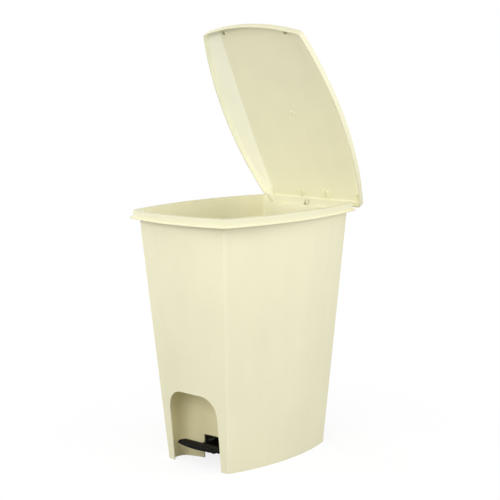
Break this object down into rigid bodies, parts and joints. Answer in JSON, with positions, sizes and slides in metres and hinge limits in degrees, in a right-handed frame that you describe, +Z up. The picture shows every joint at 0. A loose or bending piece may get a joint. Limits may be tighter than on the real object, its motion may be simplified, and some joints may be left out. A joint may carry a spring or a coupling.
{
  "type": "pedal bin",
  "caption": "Tapered plastic kitchen pedal bin with a domed lid hinged at the back; a foot pedal in a front niche lifts the lid through a lever and a rod.",
  "frame": {"origin": "on the ground under the middle of the bin's rim, between the side walls", "axes": "+Z up; -Y towards the pedal and the user; +Y towards the hinge; +X to the right seen from the pedal side. Drawn with the lid standing open 60 degrees and the pedal pressed to match."},
  "size_m": [0.347, 0.4952, 0.9518],
  "materials": {
    "cream_plastic": "fine satin moulded polypropylene, cream",
    "black_plastic": "fine satin moulded, black",
    "nylon": "smooth natural nylon",
    "rubber": "matt, warm grey",
    "steel": "zinc plated"
  },
  "bodies": {
    "bin": {"bin_body": "cream_plastic", "rear_cover": "cream_plastic", "cover_screws": "steel", "rod_guide_lower": "nylon", "rod_guide_upper": "nylon", "hinge_pin_left": "steel", "hinge_pin_right": "steel", "pedal_axle": "steel", "axle_clip_left": "steel", "axle_clip_right": "steel", "axle_spacer_left": "nylon", "axle_spacer_right": "nylon"},
    "lid": {"lid": "cream_plastic", "bumper_left": "rubber", "bumper_right": "rubber"},
    "lever": {"pedal": "black_plastic", "lever_bar": "steel", "pedal_rivets": "steel"},
    "rod": {"lift_rod": "steel", "rod_head": "nylon", "rod_clip": "steel"}
  },
  "joints": [
    {"name": "lid_hinge", "type": "hinge", "parent": "bin", "child": "lid", "pos_m": [0, 0.226, 0.53], "axis": [-1, 0, 0], "range_deg": [-60, 24.3]},
    {"name": "pedal_lever", "type": "hinge", "parent": "bin", "child": "lever", "pos_m": [0, 0.015, 0.027], "axis": [1, 0, 0], "range_deg": [-4.17, 1.7]},
    {"name": "rod_slide", "type": "slide", "parent": "bin", "child": "rod", "axis": [0, 0.0674, 0.9977], "range_m": [-0.01214, 0.00498]}
  ],
  "couplings": [
    {"joint": "pedal_lever", "follows": "lid_hinge", "ratio": 0.06917},
    {"joint": "rod_slide", "follows": "lid_hinge", "m_per_rad": 0.0115}
  ]
}
